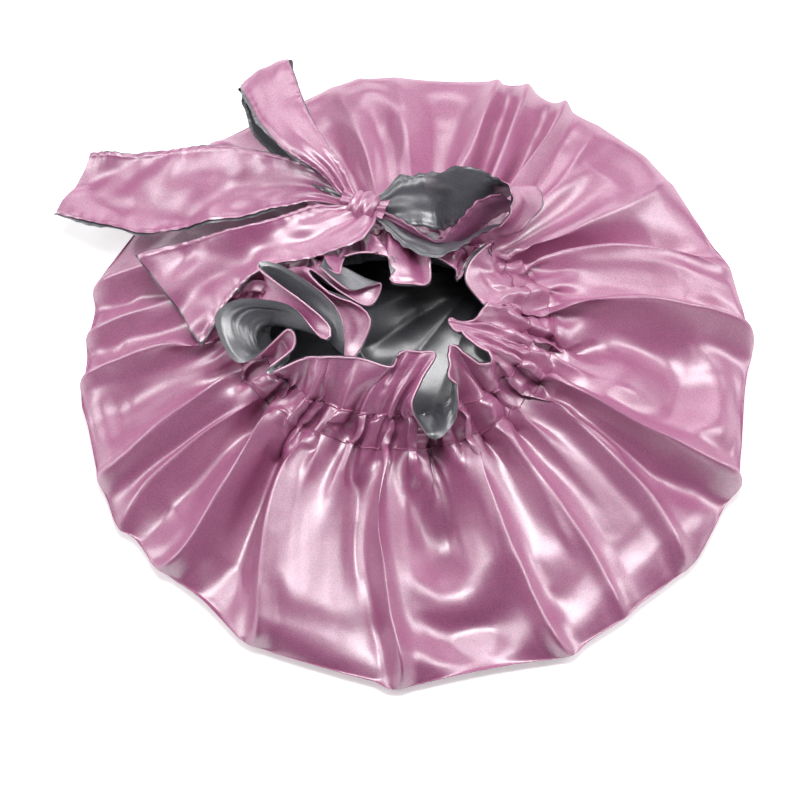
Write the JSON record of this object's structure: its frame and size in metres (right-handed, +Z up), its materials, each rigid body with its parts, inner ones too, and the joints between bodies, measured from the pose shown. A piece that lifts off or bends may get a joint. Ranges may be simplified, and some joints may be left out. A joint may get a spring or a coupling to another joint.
{
  "type": "satin hair bonnet",
  "caption": "Round double-layer satin hair bonnet with a gathered elastic mouth, a ruffle round it and a tie knotted in a bow.",
  "frame": {"origin": "on the surface the bonnet lies on, under the middle of its flat round crown", "axes": "+Z up through the open mouth, +Y towards the bow at the back, +X to the right"},
  "size_m": [0.3979, 0.3736, 0.0986],
  "materials": {
    "rose_satin": "mauve-rose polyester satin, soft directional gloss",
    "grey_satin": "mid grey polyester satin, soft directional gloss",
    "elastic": "matt white woven elastic",
    "thread": "rose sewing thread"
  },
  "bodies": {
    "bonnet": {"crown_base_outer": "rose_satin", "crown_base_lining": "grey_satin", "crown_edge_outer": "rose_satin", "crown_edge_lining": "grey_satin", "crown_outer": "rose_satin", "crown_lining": "grey_satin", "channel_outer": "rose_satin", "channel_lining": "grey_satin", "elastic_band": "elastic", "lower_channel_stitching": "thread", "upper_channel_stitching": "thread", "ruffle_outer": "rose_satin", "ruffle_lining": "grey_satin", "ruffle_edge_seam": "thread", "tie_tab": "rose_satin", "lower_tie_tack": "thread", "upper_tie_tack": "thread", "knot_wrap": "rose_satin", "knot_core": "rose_satin"},
    "left_tail": {"left_tail_face": "rose_satin", "left_tail_back": "grey_satin"},
    "front_tail": {"front_tail_face": "rose_satin", "front_tail_back": "grey_satin"},
    "back_loop": {"back_loop_face": "rose_satin", "back_loop_lining": "grey_satin"},
    "right_loop": {"right_loop_face": "rose_satin", "right_loop_lining": "grey_satin"}
  },
  "joints": [
    {"name": "left_tail_lift", "type": "hinge", "parent": "bonnet", "child": "left_tail", "pos_m": [-0.04011, 0.07649, 0.06855], "axis": [0.225, 0.9744, 0], "range_deg": [0, 45]},
    {"name": "front_tail_lift", "type": "hinge", "parent": "bonnet", "child": "front_tail", "pos_m": [-0.04037, 0.07159, 0.07055], "axis": [-0.3584, 0.9336, 0], "range_deg": [0, 60]},
    {"name": "back_loop_lift", "type": "hinge", "parent": "bonnet", "child": "back_loop", "pos_m": [-0.04144, 0.08139, 0.0716], "axis": [0.891, 0.454, 0], "range_deg": [0, 35]},
    {"name": "right_loop_lift", "type": "hinge", "parent": "bonnet", "child": "right_loop", "pos_m": [-0.01906, 0.07649, 0.072], "axis": [-0.1392, -0.9903, 0], "range_deg": [0, 50]}
  ]
}
